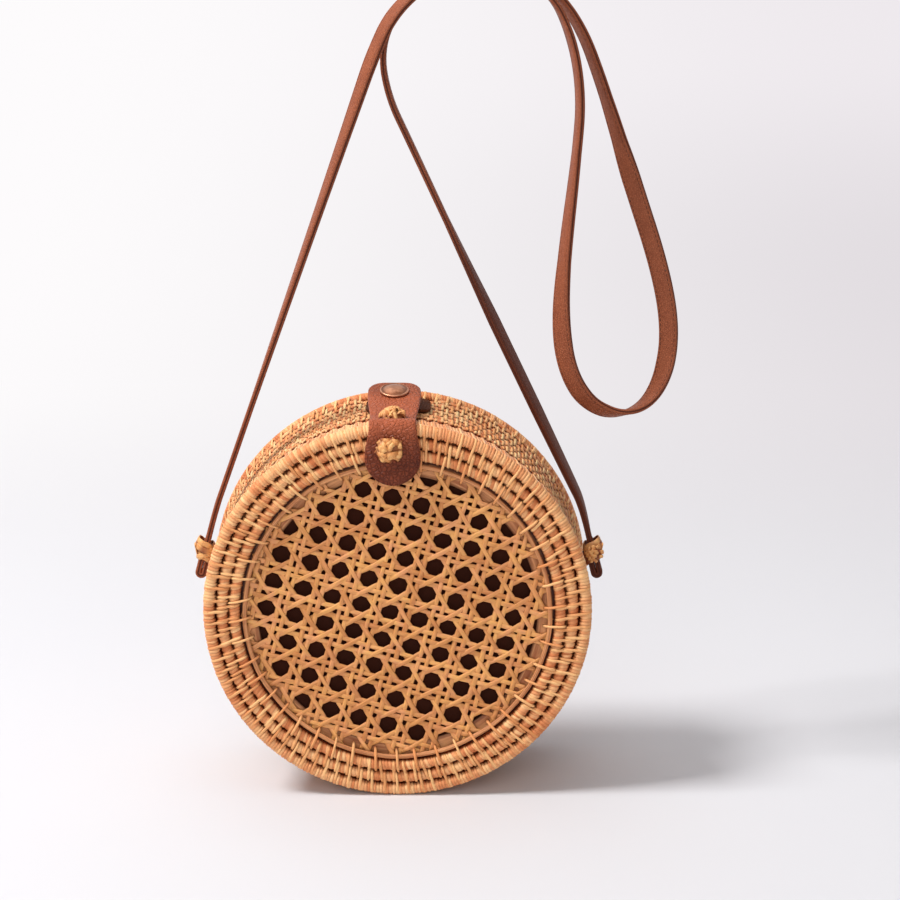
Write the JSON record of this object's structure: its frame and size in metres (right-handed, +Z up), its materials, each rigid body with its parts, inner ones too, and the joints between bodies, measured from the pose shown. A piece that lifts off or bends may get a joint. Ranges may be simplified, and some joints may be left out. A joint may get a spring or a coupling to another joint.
{
  "type": "round shoulder bag",
  "caption": "Round woven rattan shoulder bag with cane webbing faces, a lid hinged at the bottom, a leather snap tab and a long leather strap.",
  "frame": {"origin": "the point on the strap that the bag hangs from, straight above the bag's middle", "axes": "+X to the wearer's left as the front is seen, +Y from the front face to the back face, +Z up"},
  "size_m": [0.2503, 0.0892, 0.4251],
  "materials": {
    "coiled_rattan": "wrapped coils, satin",
    "plain_rattan": "smooth, satin",
    "cane_webbing": "split cane, satin",
    "cane_lacing": "split cane, satin",
    "raffia": "dry twisted fibre",
    "tab_leather": "grained, semi matt",
    "strap_leather": "grained, semi gloss, stitched edges",
    "patch_leather": "grained, matt",
    "antique_brass": "aged, satin",
    "snap_metal": "aged, satin",
    "lining_cloth": "plain weave, matt"
  },
  "bodies": {
    "rear_half": {"rear_bead": "coiled_rattan", "rear_face_coils": "coiled_rattan", "rear_wall": "coiled_rattan", "rear_hoop": "plain_rattan", "rear_inner_hoop": "plain_rattan", "rear_cane_panel": "cane_webbing", "rear_lacing": "cane_lacing", "rear_lining": "lining_cloth", "rear_hinge_loops": "raffia", "hinge_cord": "raffia", "snap_patch": "patch_leather", "patch_knot": "raffia", "snap_stud": "snap_metal", "strap_end_left": "strap_leather", "strap_end_right": "strap_leather", "strap_knot_left": "raffia", "strap_knot_right": "raffia", "shoulder_strap": "strap_leather"},
    "front_half": {"front_bead": "coiled_rattan", "front_face_coils": "coiled_rattan", "front_wall": "coiled_rattan", "front_hoop": "plain_rattan", "front_inner_hoop": "plain_rattan", "front_cane_panel": "cane_webbing", "front_lacing": "cane_lacing", "front_lining": "lining_cloth", "front_hinge_loops": "raffia", "tab_base": "tab_leather", "tab_knot_lower": "raffia", "tab_knot_upper": "raffia"},
    "closure_tab": {"tab_tail": "tab_leather", "snap_cap": "antique_brass", "snap_socket": "snap_metal"}
  },
  "joints": [
    {"name": "lid_hinge", "type": "hinge", "parent": "rear_half", "child": "front_half", "pos_m": [0, -0.01, -0.40855], "axis": [1, 0, 0], "range_deg": [0, 100]},
    {"name": "tab_lift", "type": "hinge", "parent": "front_half", "child": "closure_tab", "pos_m": [0, -0.017, -0.2117], "axis": [1, 0, 0], "range_deg": [0, 75]}
  ]
}
